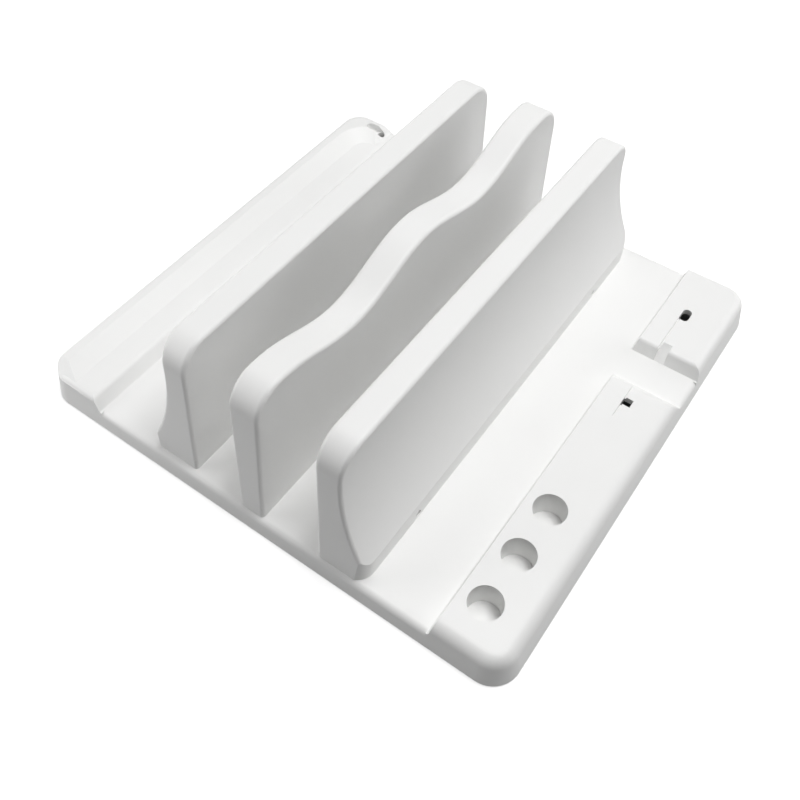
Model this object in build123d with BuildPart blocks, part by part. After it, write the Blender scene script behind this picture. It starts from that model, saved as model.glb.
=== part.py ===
"""Vertical desk stand for laptops: one white ABS moulding with three upright walls, standing on rubber feet.

Frame: millimetres, +Z up, X across the slots, Y along the slots from the front to the back.
The origin is on the desk, under the middle of the footprint. Sizes named "level" or "height" are measured
from the moulding's lower rim, which the rubber feet hold a little above the desk.
"""

import os
from math import atan2, degrees, sqrt

from build123d import *

os.makedirs("parts", exist_ok=True)

# Footprint of the moulding at its lower rim
stand_width = 198.0
stand_depth = 190.0
corner_radius = 10.0
side_draft = 9.0  # degrees that the sides lean inwards

# Levels of the base
floor_level = 7.2  # slots and trays
band_level = 12.4  # raised bands along both sides
lip_level = 15.5  # lip round the left band
edge_round = 2.4  # outer edges of the trays, the left band and its lip
band_round = 4.5  # outer edge of the right band
pad_round = 4.0  # outer edge of the pad behind it

# Forms of the bands and the lip
left_band_width = 24.9  # from the lower rim to the top of the band's inner step
right_band_width = 27.0
left_step_run = 3.0  # how far the step's foot stands out from its top
right_step_run = 0.9
left_step_round = 3.0  # rounding at the top of the step
right_step_round = 0.2
step_foot_round = 0.8
lip_width = 6.9  # from the lower rim to where the lip starts to fall
lip_run = 7.7  # how far the lip's inner slope reaches
lip_corner = 2.2
lip_front = 3.6  # from the lower rim to where the lip ends at the front
lip_end_run = 4.5  # length of the slope at each end of the lip

# Gap in the right band, in front of the pad at the back
pad_length = 48.2  # from the lower rim to the top of the pad's front slope
pad_run = 2.4  # how far the pad's front slope reaches
gap_length = 15.0  # along the gap's floor
gap_run = 5.0  # how far the slope at the band's end reaches
band_end_round = 5.0
pad_step_round = 2.0
gap_foot_round = 0.8

# Upright walls, with the slots measured at the floor
wall_height = 64.4
front_setback = 2.4  # from the lower rim to a wall's front end, at the floor
left_setback = 3.6  # the same for the left wall
front_lean = 4.6  # how far the front end leans in between the floor and the top
back_setback = 4.7
back_lean = 1.5
wall_corner = 11.0  # rounding of the top corners, seen from the side
middle_thickness = 9.8
middle_x = -0.4
left_slot = 20.8
right_slot = 23.0
slot_closing = 1.0  # how far each side of a slot leans over it at the top
wall_edge_round = 1.4

# Outer walls: flat towards the slot, hollowed outside, with a flared foot
waist_thickness = 8.7
waist_height = 51.9
flare_thickness = 18.2
flare_edge = 7.5  # height of the flare's upright edge above the floor
left_flare_corner = 3.0  # rounding of the flare's corners, seen from above
right_flare_corner = 6.5
outer_edge_round = 1.2

# Wave along the top of the middle wall
crest_height = 66.2
trough_height = 57.8
front_crest = 19.0  # from the lower rim to the first crest
back_crest = 21.0

# Moulded shell
skin = 2.4
rib_thickness = 1.6
rib_rise = 3.0  # room for a cable under the ribs

# Pen sockets in the right band
pen_diameter = 11.8
pen_pitch = 19.9
pen_count = 3
pen_front = 17.8  # from the lower rim to the front socket
pen_side = 18.0  # from the lower rim to the line of sockets
pen_wall = 1.8
pen_floor = 1.2

# Cable holes, with thin slits that lead cables to them
cable_hole = 3.5
slit_width = 0.7
slit_depth = 1.0
band_hole_side = 17.2  # from the lower rim
band_hole_back = 78.2
band_slit_length = 16.8
pad_hole_side = 17.5
pad_hole_back = 27.4
pad_hole_length = 6.4
pad_lead_width = 4.0  # ramp beside the mouth of the pad's slit
pad_lead_run = 3.5  # how far the ramp reaches behind the pad's front edge
lip_hole_side = 20.0
lip_hole_back = 7.1
lip_lead_length = 9.0

# Cable holes in the upright edge of the right wall's flare
flare_hole = 2.4
flare_hole_level = 2.2  # from the floor to a hole's middle
flare_hole_front = 33.0  # from the lower rim
flare_hole_back = 35.2

# Rubber feet
foot_diameter = 14.0
foot_height = 1.6
foot_gap = 0.8  # how far the feet stand proud of the lower rim
foot_clearance = 0.2
foot_edge = 0.3
foot_side = 41.0  # from the lower rim to a foot's middle
foot_end = 15.0
boss_wall = 2.0

# Places worked out from the sizes above
rim = foot_gap
floor_z = rim + floor_level
band_z = rim + band_level
wall_top = rim + wall_height
half_width = stand_width / 2
half_depth = stand_depth / 2
left_band_edge = half_width - left_band_width
right_band_edge = half_width - right_band_width
left_face = middle_x - middle_thickness / 2 - left_slot
right_face = middle_x + middle_thickness / 2 + right_slot
pad_front = half_depth - pad_length
gap_middle = pad_front - pad_run - gap_length / 2
wave_pitch = (stand_depth - front_crest - back_crest) / 2
wave_centre = (front_crest - back_crest) / 2
beyond = 20.0  # how far cutting shapes reach past what they cut
pen_first = pen_front - half_depth
pen_places = [(half_width - pen_side, pen_first + pen_pitch * i) for i in range(pen_count)]
rib_pitch = -pen_first - pen_pitch * 1.5  # midway between two pen sockets
band_hole = (half_width - band_hole_side, half_depth - band_hole_back)
pad_hole = (half_width - pad_hole_side, half_depth - pad_hole_back)
lip_hole = (lip_hole_side - half_width, half_depth - lip_hole_back)
flare_hole_z = floor_z + flare_hole_level
flare_holes = [(flare_hole_front - half_depth, flare_hole_z), (half_depth - flare_hole_back, flare_hole_z)]
slit_offset = (cable_hole - slit_width) / 2  # a slit runs along the left side of its hole
foot_x = half_width - foot_side
foot_y = half_depth - foot_end
foot_places = {
    "foot_front_left": (-foot_x, -foot_y),
    "foot_front_right": (foot_x, -foot_y),
    "foot_back_left": (-foot_x, foot_y),
    "foot_back_right": (foot_x, foot_y),
}


def rim_block(level, top_round, inset):
    """Block on the stand's footprint up to a level, set in all round, with its top edge rounded."""
    with BuildPart() as block:
        with BuildSketch(Plane.XY.offset(rim)):
            RectangleRounded(stand_width - 2 * inset, stand_depth - 2 * inset, corner_radius - inset)
        extrude(amount=level, taper=side_draft)
        if top_round:
            fillet(block.edges().group_by(Axis.Z)[-1], top_round)
    return block.part


def gap_block(inset):
    """Space that parts the right band from the pad behind it, widened for the hollow underneath."""
    low = floor_z - inset
    high = band_z - inset
    back = pad_front + inset
    front = pad_front - pad_run - gap_length - gap_run - inset
    with BuildPart() as gap:
        with BuildSketch(Plane.YZ) as section:
            with BuildLine():
                Polyline(
                    (front - gap_length, high),
                    (front, high),
                    (front + gap_run, low),
                    (front + gap_run + gap_foot_round, low),
                    (front + gap_run + gap_foot_round, rim),
                    (back - pad_run - gap_foot_round, rim),
                    (back - pad_run - gap_foot_round, low),
                    (back - pad_run, low),
                    (back, high),
                    (back + gap_length, high),
                    (back + gap_length, high + beyond),
                    (front - gap_length, high + beyond),
                    close=True,
                )
            make_face()
            fillet(section.vertices().filter_by(lambda v: v.X == front), band_end_round)
            fillet(section.vertices().filter_by(lambda v: v.X == back), pad_step_round)
            feet = (front + gap_run, back - pad_run)
            fillet(section.vertices().filter_by(lambda v: v.X in feet), gap_foot_round)
        extrude(amount=stand_width)
    return gap.part


def band_block(way, outer_round, inset):
    """Raised band on the side that way points to, cut off by its inner step, or the hollow under it."""
    low = floor_z - inset
    high = band_z - inset
    edge = right_band_edge if way > 0 else left_band_edge
    run = right_step_run if way > 0 else left_step_run
    top = way * (edge + inset)
    foot = way * (edge + inset - run)
    near = foot - way * step_foot_round
    far = way * (half_width + beyond)
    with BuildPart() as band:
        add(rim_block(band_level - inset, max(outer_round - inset, 0), inset))
        with BuildSketch(Plane.XZ) as section:
            with BuildLine():
                Polyline((near, rim), (near, low), (foot, low))
                Polyline((foot, low), (top, high), (far, high))
                Polyline((far, high), (far, rim), (near, rim))
            make_face()
            fillet(section.vertices().filter_by(lambda v: v.X == foot), step_foot_round)
            top_round = right_step_round if way > 0 else left_step_round
            fillet(section.vertices().filter_by(lambda v: v.X == top), top_round)
        extrude(amount=stand_depth, both=True, mode=Mode.INTERSECT)
    return band.part


def right_block(outer_round, keep, inset):
    """Right band in front of the gap or pad behind it, as keep says, or the hollow under it."""
    with BuildPart() as block:
        add(band_block(1, outer_round, inset))
        add(gap_block(inset), mode=Mode.SUBTRACT)
        split(bisect_by=Plane.XZ.offset(-gap_middle), keep=keep)
    return block.part


def rise(z):
    """Share of the walls' height above the floor, 0 at the floor and 1 at the top."""
    return (z - floor_z) / (wall_top - floor_z)


def wall_ends(z, setback, inset):
    """Y of a wall's front and back ends at height z."""
    front = -half_depth + setback + front_lean * rise(z) + inset
    back = half_depth - back_setback - back_lean * rise(z) - inset
    return front, back


def outer_wall(face, way, setback, corner, inset, bottom):
    """Outer wall with its slot side at X = face and its foot flared towards way, or its hollow."""
    flare = flare_thickness - waist_thickness
    drop = waist_height - floor_level - flare_edge
    radius = (drop**2 + flare**2) / (2 * flare)
    waist_z = rim + waist_height
    top = wall_top - inset

    def slot_side(z):
        return face + way * (inset - slot_closing * rise(z)), z

    def outer_side(z):
        sunk = radius - sqrt((radius + inset) ** 2 - (z - waist_z) ** 2)
        return face + way * (waist_thickness + sunk), z

    with BuildPart() as wall:
        with BuildSketch(Plane.XZ):
            with BuildLine():
                Polyline(outer_side(bottom), slot_side(bottom), slot_side(top), outer_side(top))
                ThreePointArc(outer_side(top), outer_side(waist_z), outer_side(bottom))
            make_face()
        extrude(amount=stand_depth, both=True)
        with BuildSketch(Plane.YZ) as side:
            low_front, low_back = wall_ends(bottom, setback, inset)
            high_front, high_back = wall_ends(top, setback, inset)
            with BuildLine():
                Polyline((low_back, bottom), (low_front, bottom), (high_front, top))
                Polyline((high_front, top), (high_back, top), (low_back, bottom))
            make_face()
            fillet(side.vertices().group_by(Axis.Y)[-1], wall_corner)
        extrude(amount=stand_width, both=True, mode=Mode.INTERSECT)
        if not inset:
            hollowed = wall.faces().filter_by(GeomType.CYLINDER).sort_by(SortBy.AREA)[-1]
            fillet(hollowed.edges().filter_by(lambda e: e.center().Z > floor_z), outer_edge_round)
            flat = wall.faces().filter_by(GeomType.PLANE).sort_by(SortBy.AREA)[-1]
            fillet(flat.edges().filter_by(lambda e: e.center().Z > floor_z), wall_edge_round)
        # the outline seen from above cuts the flare off upright
        with BuildSketch() as plan:
            near = face - way * beyond
            far = face + way * (flare_thickness - inset)
            front, back = wall_ends(rim, setback, inset)
            with BuildLine():
                Polyline((near, front), (far, front), (far, back), (near, back), close=True)
            make_face()
            fillet(plan.vertices().filter_by(lambda v: v.X == far), corner - inset)
        extrude(amount=wall_top, mode=Mode.INTERSECT)
    return wall.part


def middle_wall(inset, bottom):
    """Middle wall with crests and troughs along its top, or the hollow inside it."""
    crest = rim + crest_height - inset
    trough = rim + trough_height - inset
    turns = [(wave_centre + wave_pitch * (i / 2 - 1), trough if i % 2 else crest) for i in range(5)]
    handle = wave_pitch * 0.182  # makes each half wave follow a cosine

    def half_thickness(z):
        return middle_thickness / 2 + slot_closing * rise(z) - inset

    with BuildPart() as wall:
        with BuildSketch(Plane.XZ):
            low = half_thickness(bottom)
            high = half_thickness(crest)
            with BuildLine():
                Polyline(
                    (middle_x - low, bottom),
                    (middle_x + low, bottom),
                    (middle_x + high, crest),
                    (middle_x - high, crest),
                    close=True,
                )
            make_face()
        extrude(amount=stand_depth, both=True)
        with BuildSketch(Plane.YZ) as side:
            low_front, low_back = wall_ends(bottom, front_setback, inset)
            high_front, high_back = wall_ends(crest, front_setback, inset)
            with BuildLine():
                Polyline((low_front, bottom), (high_front, crest), turns[0])
                for start, end in zip(turns, turns[1:]):
                    Bezier(start, (start[0] + handle, start[1]), (end[0] - handle, end[1]), end)
                Polyline(turns[-1], (high_back, crest), (low_back, bottom), (low_front, bottom))
            make_face()
            corners = side.vertices().filter_by(lambda v: v.X in (high_front, high_back))
            fillet(corners, wall_corner - 2 * inset)
        extrude(amount=stand_width, both=True, mode=Mode.INTERSECT)
        if not inset:
            flats = wall.faces().sort_by(SortBy.AREA)[-2:]
            fillet(flats.edges().filter_by(lambda e: e.center().Z > floor_z), wall_edge_round)
    return wall.part


# Lip round the left band, falling to the band inside and running out at both ends
with BuildPart() as lip:
    lip_rise = lip_level - band_level
    lip_z = rim + lip_level
    add(rim_block(lip_level, edge_round, 0))
    # each slope goes on below the band, so that no upright face shows beside the rounded edges
    with BuildSketch(Plane.XY.offset(band_z - lip_rise / 2)) as pocket:
        with Locations((lip_width + lip_run * 1.5 - half_width, half_depth - lip_width - lip_run * 1.5)):
            Rectangle(stand_width, stand_depth + beyond, align=(Align.MIN, Align.MAX))
        fillet(pocket.vertices().group_by(Axis.X)[0].sort_by(Axis.Y)[-1], lip_corner)
    extrude(amount=lip_rise * 1.5, taper=-degrees(atan2(lip_run, lip_rise)), mode=Mode.SUBTRACT)
    with BuildSketch(Plane.XZ) as kept:
        back_end = -left_band_edge - left_step_round
        with BuildLine():
            Polyline(
                (-half_width - beyond, rim),
                (back_end + lip_end_run / 2, rim),
                (back_end + lip_end_run / 2, band_z - lip_rise / 2),
                (back_end - lip_end_run, lip_z),
                (-half_width - beyond, lip_z),
                close=True,
            )
        make_face()
    extrude(amount=stand_depth, both=True, mode=Mode.INTERSECT)
    with BuildSketch(Plane.YZ):
        front_end = lip_front - half_depth
        with BuildLine():
            Polyline(
                (front_end - lip_end_run, band_z - lip_rise),
                (front_end + lip_end_run, lip_z),
                (front_end - lip_end_run, lip_z),
                close=True,
            )
        make_face()
    extrude(amount=stand_width, both=True, mode=Mode.SUBTRACT)

# Outside of the whole moulding
with BuildPart() as outside:
    add(rim_block(floor_level, edge_round, 0))
    add(band_block(-1, edge_round, 0))
    add(lip.part)
    add(right_block(band_round, Keep.TOP, 0))
    add(right_block(pad_round, Keep.BOTTOM, 0))
    add(outer_wall(left_face, -1, left_setback, left_flare_corner, 0, floor_z - skin / 2))
    add(outer_wall(right_face, 1, front_setback, right_flare_corner, 0, floor_z - skin / 2))
    add(middle_wall(0, floor_z - skin / 2))

# Hollow under the base and inside the walls, with ribs, sockets and foot bosses left standing
with BuildPart() as hollow:
    add(rim_block(floor_level - skin, 0, skin))
    add(band_block(-1, edge_round, skin))
    add(right_block(band_round, Keep.TOP, skin))
    add(right_block(pad_round, Keep.BOTTOM, skin))
    add(outer_wall(left_face, -1, left_setback, left_flare_corner, skin, floor_z - 2 * skin))
    add(outer_wall(right_face, 1, front_setback, right_flare_corner, skin, floor_z - 2 * skin))
    add(middle_wall(skin, floor_z - 2 * skin))
    with BuildSketch(Plane.XY.offset(rim + rib_rise)):
        with GridLocations(0, rib_pitch, 1, 3):
            Rectangle(stand_width, rib_thickness)
    extrude(amount=crest_height, mode=Mode.SUBTRACT)
    with BuildSketch(Plane.XY.offset(rim)):
        with Locations(pen_places):
            Circle(pen_diameter / 2 + pen_wall)
        with Locations(list(foot_places.values())):
            Circle(foot_diameter / 2 + boss_wall)
    extrude(amount=band_level, mode=Mode.SUBTRACT)

with BuildPart() as body:
    add(outside.part)
    add(hollow.part, mode=Mode.SUBTRACT)
    # pen sockets
    with BuildSketch(Plane.XY.offset(rim + pen_floor)):
        with Locations(pen_places):
            Circle(pen_diameter / 2)
    extrude(amount=band_level, mode=Mode.SUBTRACT)
    # recesses for the rubber feet
    with BuildSketch(Plane.XY.offset(rim)):
        with Locations(list(foot_places.values())):
            Circle((foot_diameter + foot_clearance) / 2)
    extrude(amount=foot_height - foot_gap, mode=Mode.SUBTRACT)
    # cable holes in the right wall's flare
    with BuildSketch(Plane.YZ.offset(right_face + flare_thickness)):
        with Locations(flare_holes):
            Circle(flare_hole / 2)
    extrude(amount=-2 * skin, mode=Mode.SUBTRACT)
    # cable holes and slits in the right band and the pad
    with BuildSketch(Plane.XY.offset(band_z)):
        with Locations(band_hole):
            Rectangle(cable_hole, cable_hole)
        with Locations(pad_hole):
            SlotOverall(pad_hole_length, cable_hole, rotation=90)
    extrude(amount=-2 * skin, mode=Mode.SUBTRACT)
    with BuildSketch(Plane.XY.offset(band_z)):
        with Locations((band_hole[0] - slit_offset, band_hole[1])):
            Rectangle(slit_width, band_slit_length)
        with Locations((pad_hole[0] - slit_offset, pad_hole[1])):
            Rectangle(slit_width, pad_hole[1] - pad_front, align=(Align.CENTER, Align.MAX))
    extrude(amount=-slit_depth, mode=Mode.SUBTRACT)
    # ramp that leads a cable up to the mouth of the pad's slit
    with BuildSketch(Plane.YZ.offset(pad_hole[0] - slit_offset)):
        with BuildLine():
            Polyline(
                (pad_front - pad_run, floor_z),
                (pad_front + pad_lead_run, band_z),
                (pad_front - pad_run, band_z),
                close=True,
            )
        make_face()
    extrude(amount=pad_lead_width, mode=Mode.SUBTRACT)
    # cable hole in the lip at the back left, with a shallow lead towards the corner
    with BuildSketch(Plane.XY.offset(band_z)):
        with Locations((lip_hole[0] + cable_hole / 2, lip_hole[1])):
            SlotOverall(lip_lead_length, cable_hole, align=(Align.MAX, Align.CENTER))
    extrude(amount=lip_level, mode=Mode.SUBTRACT)
    with BuildSketch(Plane.XY.offset(band_z)):
        with Locations(lip_hole):
            Circle(cable_hole / 2)
    extrude(amount=-2 * skin, mode=Mode.SUBTRACT)

body.part.label = "body"
export_step(body.part, "parts/body.step")

# Rubber feet
for node, place in foot_places.items():
    with BuildPart() as foot:
        with BuildSketch():
            with Locations(place):
                Circle(foot_diameter / 2)
        extrude(amount=foot_height)
        chamfer(foot.edges().group_by(Axis.Z)[0], foot_edge)
    foot.part.label = node
    export_step(foot.part, f"parts/{node}.step")
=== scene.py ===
"""Look of a vertical laptop stand: finishes for its moulding and its feet, and the studio that shows it.

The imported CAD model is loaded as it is, in metres, with +Z up and the stand's feet on Z = 0. Its nodes keep
their shapes, and this file gives them their materials, the floor they stand on, the lamps and the camera.
"""

import math

import bpy
import numpy as np
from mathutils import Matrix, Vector


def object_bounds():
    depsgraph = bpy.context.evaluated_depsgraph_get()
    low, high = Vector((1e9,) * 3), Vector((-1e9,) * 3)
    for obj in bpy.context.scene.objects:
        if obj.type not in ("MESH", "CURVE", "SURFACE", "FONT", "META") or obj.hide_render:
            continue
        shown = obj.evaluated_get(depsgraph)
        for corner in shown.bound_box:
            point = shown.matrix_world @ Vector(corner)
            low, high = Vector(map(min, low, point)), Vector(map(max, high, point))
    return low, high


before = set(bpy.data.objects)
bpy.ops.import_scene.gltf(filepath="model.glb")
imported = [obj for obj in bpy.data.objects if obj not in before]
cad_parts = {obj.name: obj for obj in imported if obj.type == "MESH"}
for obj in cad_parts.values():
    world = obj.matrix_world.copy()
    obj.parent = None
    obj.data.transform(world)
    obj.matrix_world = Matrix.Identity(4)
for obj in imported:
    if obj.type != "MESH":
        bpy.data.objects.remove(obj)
cad_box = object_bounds()

bl_info = {
    "name": "Laptop stand look",
    "version": (1, 0, 0),
    "blender": (4, 5, 0),
    "location": "View3D > Sidebar > Stand",
    "description": "Finishes the packed laptop stand and sets up the studio around it",
    "category": "Object",
}

# Camera at the photograph's viewing angle: metres, degrees, and shares of the picture's width
CAMERA_PLACE = (0.130083, -0.195390, 0.286354)
CAMERA_TURN = (40.04398, -0.66467, 35.14274)
CAMERA_SHIFT = (-0.00601, -0.0751)
SENSOR_WIDTH = 36  # millimetres

# Soft lamps: name, place and side length, in metres
LAMPS = (
    ("key", (0.25, 0.05, 0.9), 0.3),
    ("back", (0, 0.25, 1), 0.3),
    ("back_left", (-0.4, 0.4, 0.8), 0.6),
    ("left", (-0.55, 0, 0.75), 0.6),
    ("front", (-0.3, -0.25, 0.15), 0.2),
    ("right", (0.32, 0.35, 0.25), 0.3),
)
AIM = (0, 0, 0.03)  # middle of the stand, which every lamp is turned to
UNDER_INSET = 0.006  # from the stand's edge to the floor face that shows through its holes
FEET = ("foot_front_left", "foot_front_right", "foot_back_left", "foot_back_right")
NOISE_LOW, NOISE_HIGH = 0.3, 0.7  # most of a noise texture lies between these
MIX_SHARE, MIX_FIRST, MIX_SECOND, MIX_RESULT = 0, 6, 7, 2  # sockets of a Mix node, for colours
WHITE = (1, 1, 1, 1)


def linear(code):
    """Linear colour of an sRGB hex value such as #EEEEED."""
    shares = [int(code[i:i + 2], 16) / 255 for i in (1, 3, 5)]
    return [s / 12.92 if s <= 0.04045 else ((s + 0.055) / 1.055) ** 2.4 for s in shares]


class MouldingFinish(bpy.types.PropertyGroup):
    """Colours and grain of the white moulding."""

    colour: bpy.props.FloatVectorProperty(
        name="Colour", description="Colour of most of the plastic",
        subtype="COLOR", size=3, min=0, max=1, default=linear("#F5F5F4"))
    flow_colour: bpy.props.FloatVectorProperty(
        name="Flow colour", description="Slightly deeper colour in the bands where the melt flowed",
        subtype="COLOR", size=3, min=0, max=1, default=linear("#F2F2F1"))
    flow_size: bpy.props.FloatProperty(
        name="Flow size", description="Width of the bands where the melt flowed",
        unit="LENGTH", min=0.005, default=0.045)
    roughness: bpy.props.FloatProperty(
        name="Roughness", description="Roughness of the eroded surface",
        subtype="FACTOR", min=0, max=1, default=0.48)
    roughness_spread: bpy.props.FloatProperty(
        name="Roughness spread", description="How far the roughness strays to either side with the grain",
        subtype="FACTOR", min=0, max=1, default=0.05)
    grain_size: bpy.props.FloatProperty(
        name="Grain size", description="Spacing of the pebbled grain",
        unit="LENGTH", min=0.0001, default=0.0007)
    grain_depth: bpy.props.FloatProperty(
        name="Grain depth", description="Height of the pebbled grain",
        unit="LENGTH", min=0, default=0.000008)


class FootFinish(bpy.types.PropertyGroup):
    """Colours and grain of the rubber feet."""

    colour: bpy.props.FloatVectorProperty(
        name="Colour", description="Colour of the rubber",
        subtype="COLOR", size=3, min=0, max=1, default=linear("#616161"))
    worn_colour: bpy.props.FloatVectorProperty(
        name="Worn colour", description="Colour of the dusty patches",
        subtype="COLOR", size=3, min=0, max=1, default=linear("#6B6A68"))
    grain_size: bpy.props.FloatProperty(
        name="Grain size", description="Spacing of the rubber's grain",
        unit="LENGTH", min=0.0001, default=0.0005)
    grain_depth: bpy.props.FloatProperty(
        name="Grain depth", description="Height of the rubber's grain",
        unit="LENGTH", min=0, default=0.00002)
    dust_size: bpy.props.FloatProperty(
        name="Dust size", description="Width of the dusty patches",
        unit="LENGTH", min=0.0001, default=0.004)
    roughness: bpy.props.FloatProperty(
        name="Roughness", description="Roughness of clean rubber",
        subtype="FACTOR", min=0, max=1, default=0.72)
    dusty_roughness: bpy.props.FloatProperty(
        name="Dusty roughness", description="Roughness of the dusty patches",
        subtype="FACTOR", min=0, max=1, default=0.88)


class Studio(bpy.types.PropertyGroup):
    """Floor, lamps and camera."""

    floor_colour: bpy.props.FloatVectorProperty(
        name="Floor colour", description="Colour of the pale floor",
        subtype="COLOR", size=3, min=0, max=1, default=linear("#BCBCBC"))
    floor_lift: bpy.props.FloatProperty(
        name="Floor lift", description="White that is added to the floor where it is seen directly",
        subtype="FACTOR", min=0, max=1, default=0.72)
    fade_start: bpy.props.FloatProperty(
        name="Fade start", description="Distance from the stand's middle where the floor's whitening starts",
        unit="LENGTH", min=0, default=0.25)
    fade_end: bpy.props.FloatProperty(
        name="Fade end", description="Distance from the stand's middle where the floor is all white",
        unit="LENGTH", min=0, default=0.6)
    floor_reach: bpy.props.FloatProperty(
        name="Floor reach", description="How far the floor reaches from the stand's middle",
        unit="LENGTH", min=0.5, default=4.0)
    key_power: bpy.props.FloatProperty(
        name="Key lamp", description="Power of the lamp above the right wall",
        unit="POWER", min=0, default=4.2)
    back_power: bpy.props.FloatProperty(
        name="Back lamp", description="Power of the lamp above the stand's back",
        unit="POWER", min=0, default=1.84)
    back_left_power: bpy.props.FloatProperty(
        name="Back left lamp", description="Power of the wide lamp above the back left corner",
        unit="POWER", min=0, default=0.66)
    left_power: bpy.props.FloatProperty(
        name="Left lamp", description="Power of the wide lamp high on the left",
        unit="POWER", min=0, default=0.49)
    front_power: bpy.props.FloatProperty(
        name="Front lamp", description="Power of the small lamp close to the front left corner",
        unit="POWER", min=0, default=0.45)
    right_power: bpy.props.FloatProperty(
        name="Right lamp", description="Power of the small lamp close to the back right corner",
        unit="POWER", min=0, default=0.6)
    lens: bpy.props.FloatProperty(
        name="Lens", description="Focal length on a 36 mm wide sensor, in millimetres",
        unit="CAMERA", min=10, default=42.713)


def add_node(tree, kind, sockets=None, **settings):
    """Adds a node of a kind, with its settings.

    The sockets give each input its value, or the output that it links to.
    """
    made = tree.nodes.new(kind)
    for name, value in settings.items():
        setattr(made, name, value)
    for key, value in (sockets or {}).items():
        if isinstance(value, bpy.types.NodeSocket):
            tree.links.new(value, made.inputs[key])
        else:
            made.inputs[key].default_value = value
    return made


def empty_material(name):
    """A new material with no nodes in it, and its node tree."""
    material = bpy.data.materials.new(name)
    material.use_nodes = True
    material.node_tree.nodes.clear()
    return material, material.node_tree


def moulded_white_abs(finish):
    """White ABS moulded against a spark-eroded tool.

    It shows an even off-white with a broad soft sheen, faint bands where the melt flowed, and a fine grain.
    """
    material, tree = empty_material("moulded_white_abs")
    place = add_node(tree, "ShaderNodeTexCoord").outputs["Object"]
    flow = add_node(tree, "ShaderNodeTexNoise", {
        "Vector": place, "Scale": 1 / finish.flow_size, "Detail": 3.0, "Roughness": 0.45, "Distortion": 0.6,
    }).outputs["Fac"]
    tint = add_node(tree, "ShaderNodeMix", {
        MIX_SHARE: flow, MIX_FIRST: (*finish.colour, 1), MIX_SECOND: (*finish.flow_colour, 1),
    }, data_type="RGBA").outputs[MIX_RESULT]
    # The real grain is about 0.15 mm, under half a pixel here, so it is drawn coarser to show at all.
    grain = add_node(tree, "ShaderNodeTexNoise", {
        "Vector": place, "Scale": 1 / finish.grain_size, "Detail": 2.0, "Roughness": 0.6,
    }).outputs["Fac"]
    gloss = add_node(tree, "ShaderNodeMapRange", {
        "Value": grain, "From Min": NOISE_LOW, "From Max": NOISE_HIGH,
        "To Min": finish.roughness - finish.roughness_spread,
        "To Max": finish.roughness + finish.roughness_spread,
    }).outputs["Result"]
    bump = add_node(tree, "ShaderNodeBump", {
        "Height": grain, "Strength": 1.0, "Distance": finish.grain_depth,
    }).outputs["Normal"]
    shader = add_node(tree, "ShaderNodeBsdfPrincipled", {
        "Base Color": tint, "Roughness": gloss, "Normal": bump, "IOR": 1.54,
    }).outputs["BSDF"]
    add_node(tree, "ShaderNodeOutputMaterial", {"Surface": shader})
    return material


def moulded_foot_rubber(finish):
    """Dark grey rubber moulded in a blasted tool: matt, finely grained, with a little dust on it."""
    material, tree = empty_material("moulded_foot_rubber")
    place = add_node(tree, "ShaderNodeTexCoord").outputs["Object"]
    grain = add_node(tree, "ShaderNodeTexNoise", {
        "Vector": place, "Scale": 1 / finish.grain_size, "Detail": 2.0,
    }).outputs["Fac"]
    dust = add_node(tree, "ShaderNodeTexNoise", {
        "Vector": place, "Scale": 1 / finish.dust_size, "Detail": 4.0, "Roughness": 0.6,
    }).outputs["Fac"]
    tint = add_node(tree, "ShaderNodeMix", {
        MIX_SHARE: dust, MIX_FIRST: (*finish.colour, 1), MIX_SECOND: (*finish.worn_colour, 1),
    }, data_type="RGBA").outputs[MIX_RESULT]
    matt = add_node(tree, "ShaderNodeMapRange", {
        "Value": dust, "From Min": NOISE_LOW, "From Max": NOISE_HIGH,
        "To Min": finish.roughness, "To Max": finish.dusty_roughness,
    }).outputs["Result"]
    bump = add_node(tree, "ShaderNodeBump", {
        "Height": grain, "Strength": 1.0, "Distance": finish.grain_depth,
    }).outputs["Normal"]
    shader = add_node(tree, "ShaderNodeBsdfPrincipled", {
        "Base Color": tint, "Roughness": matt, "Normal": bump, "IOR": 1.52,
    }).outputs["BSDF"]
    add_node(tree, "ShaderNodeOutputMaterial", {"Surface": shader})
    return material


def give(node, material):
    """Puts one material on a CAD node, in place of what the model came with."""
    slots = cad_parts[node].data.materials
    slots.clear()
    slots.append(material)


def seen_directly(tree):
    """1 for rays that show the background: from the camera, from a mirror-like surface or through glass."""
    path = add_node(tree, "ShaderNodeLightPath").outputs
    either = add_node(tree, "ShaderNodeMath", {
        0: path["Is Camera Ray"], 1: path["Is Glossy Ray"],
    }, operation="MAXIMUM").outputs[0]
    return add_node(tree, "ShaderNodeMath", {
        0: either, 1: path["Is Transmission Ray"],
    }, operation="MAXIMUM").outputs[0]


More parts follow.
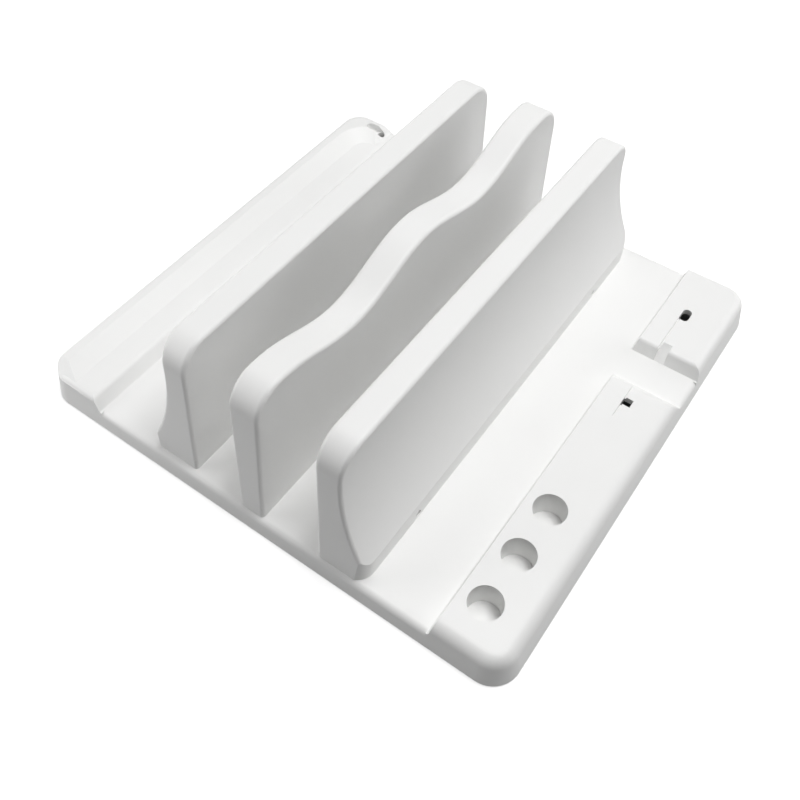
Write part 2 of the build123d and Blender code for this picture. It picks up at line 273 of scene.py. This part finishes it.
def floor_paint(name, studio, lifted):
    """Matt pale paint that the lamps light and the stand shades.

    Lifted, it looks white where it is not shaded, and far from the stand it is white all over.
    """
    material, tree = empty_material(name)
    surface = add_node(tree, "ShaderNodeBsdfDiffuse", {"Color": (*studio.floor_colour, 1)}).outputs["BSDF"]
    if lifted:
        place = add_node(tree, "ShaderNodeTexCoord").outputs["Object"]
        away = add_node(tree, "ShaderNodeVectorMath", {0: place}, operation="LENGTH").outputs["Value"]
        whiteness = add_node(tree, "ShaderNodeMapRange", {
            "Value": away, "From Min": studio.fade_start, "From Max": studio.fade_end,
            "To Min": studio.floor_lift, "To Max": 1.0,
        }).outputs["Result"]
        strength = add_node(tree, "ShaderNodeMath", {
            0: seen_directly(tree), 1: whiteness,
        }, operation="MULTIPLY").outputs[0]
        lift = add_node(tree, "ShaderNodeEmission", {
            "Color": WHITE, "Strength": strength,
        }).outputs["Emission"]
        surface = add_node(tree, "ShaderNodeAddShader", {0: surface, 1: lift}).outputs["Shader"]
    add_node(tree, "ShaderNodeOutputMaterial", {"Surface": surface})
    return material


def floor_grid(reach):
    """Points and faces of a flat grid, whose middle face lies hidden under the stand."""
    low, high = cad_box
    x = [-reach, low.x + UNDER_INSET, high.x - UNDER_INSET, reach]
    y = [-reach, low.y + UNDER_INSET, high.y - UNDER_INSET, reach]
    x, y = np.meshgrid(x, y, indexing="ij")
    points = np.stack([x, y, np.zeros_like(x)], -1).reshape(-1, 3)
    index = np.arange(x.size).reshape(x.shape)
    faces = np.stack([index[:-1, :-1], index[1:, :-1], index[1:, 1:], index[:-1, 1:]], -1).reshape(-1, 4)
    return points, faces


class STAND_OT_finish_moulding(bpy.types.Operator):
    """Give the stand's moulding its white ABS"""

    bl_idname = "stand.finish_moulding"
    bl_label = "Finish moulding"

    def execute(self, context):
        give("body", moulded_white_abs(context.scene.stand_moulding))
        return {"FINISHED"}


class STAND_OT_finish_feet(bpy.types.Operator):
    """Give the four feet their rubber"""

    bl_idname = "stand.finish_feet"
    bl_label = "Finish feet"

    def execute(self, context):
        rubber = moulded_foot_rubber(context.scene.stand_feet)
        for foot in FEET:
            give(foot, rubber)
        return {"FINISHED"}


def add_lamp(name, place, size, power):
    """A square soft lamp at a place, turned to the stand, that the camera does not see."""
    data = bpy.data.lights.new(name, "AREA")
    data.size = size
    data.energy = power
    lamp = bpy.data.objects.new(name, data)
    bpy.context.scene.collection.objects.link(lamp)
    lamp.location = place
    away = lamp.location - Vector(AIM)
    lamp.rotation_euler = away.to_track_quat("Z", "Y").to_euler()
    lamp.visible_camera = False


class STAND_OT_set_stage(bpy.types.Operator):
    """Add the floor, the lamps, the white background and the camera"""

    bl_idname = "stand.set_stage"
    bl_label = "Set stage"

    def execute(self, context):
        scene = context.scene
        studio = scene.stand_studio

        mesh = bpy.data.meshes.new("floor")
        points, faces = floor_grid(studio.floor_reach)
        mesh.from_pydata(points.tolist(), [], faces.tolist())
        mesh.materials.append(floor_paint("pale_floor_paint", studio, True))
        mesh.materials.append(floor_paint("shaded_floor_paint", studio, False))
        under = len(faces) // 2
        mesh.polygons[under].material_index = 1
        floor = bpy.data.objects.new("floor", mesh)
        scene.collection.objects.link(floor)

        world = bpy.data.worlds.new("white_studio")
        world.use_nodes = True
        tree = world.node_tree
        tree.nodes.clear()
        sky = add_node(tree, "ShaderNodeBackground", {
            "Color": WHITE, "Strength": seen_directly(tree),
        }).outputs["Background"]
        add_node(tree, "ShaderNodeOutputWorld", {"Surface": sky})
        scene.world = world

        for name, place, size in LAMPS:
            add_lamp(name, place, size, getattr(studio, name + "_power"))

        data = bpy.data.cameras.new("camera")
        data.sensor_width = SENSOR_WIDTH
        data.lens = studio.lens
        data.shift_x, data.shift_y = CAMERA_SHIFT
        camera = bpy.data.objects.new("camera", data)
        scene.collection.objects.link(camera)
        camera.location = CAMERA_PLACE
        camera.rotation_euler = [math.radians(turn) for turn in CAMERA_TURN]
        scene.camera = camera
        scene.view_settings.view_transform = "Standard"
        return {"FINISHED"}


class STAND_PT_look(bpy.types.Panel):
    """Sizes, colours and steps of the stand's look"""

    bl_idname = "STAND_PT_look"
    bl_label = "Laptop stand"
    bl_space_type = "VIEW_3D"
    bl_region_type = "UI"
    bl_category = "Stand"

    def draw(self, context):
        steps = (
            (STAND_OT_finish_moulding, context.scene.stand_moulding),
            (STAND_OT_finish_feet, context.scene.stand_feet),
            (STAND_OT_set_stage, context.scene.stand_studio),
        )
        for operator, group in steps:
            box = self.layout.box()
            for name in group.__annotations__:
                box.prop(group, name)
            box.operator(operator.bl_idname)


CLASSES = (
    MouldingFinish, FootFinish, Studio,
    STAND_OT_finish_moulding, STAND_OT_finish_feet, STAND_OT_set_stage, STAND_PT_look,
)


def register():
    for each in CLASSES:
        bpy.utils.register_class(each)
    bpy.types.Scene.stand_moulding = bpy.props.PointerProperty(type=MouldingFinish)
    bpy.types.Scene.stand_feet = bpy.props.PointerProperty(type=FootFinish)
    bpy.types.Scene.stand_studio = bpy.props.PointerProperty(type=Studio)


def unregister():
    del bpy.types.Scene.stand_studio
    del bpy.types.Scene.stand_feet
    del bpy.types.Scene.stand_moulding
    for each in reversed(CLASSES):
        bpy.utils.unregister_class(each)


def main():
    register()
    bpy.ops.stand.finish_moulding()
    bpy.ops.stand.finish_feet()
    bpy.ops.stand.set_stage()


if __name__ == "__main__":
    main()
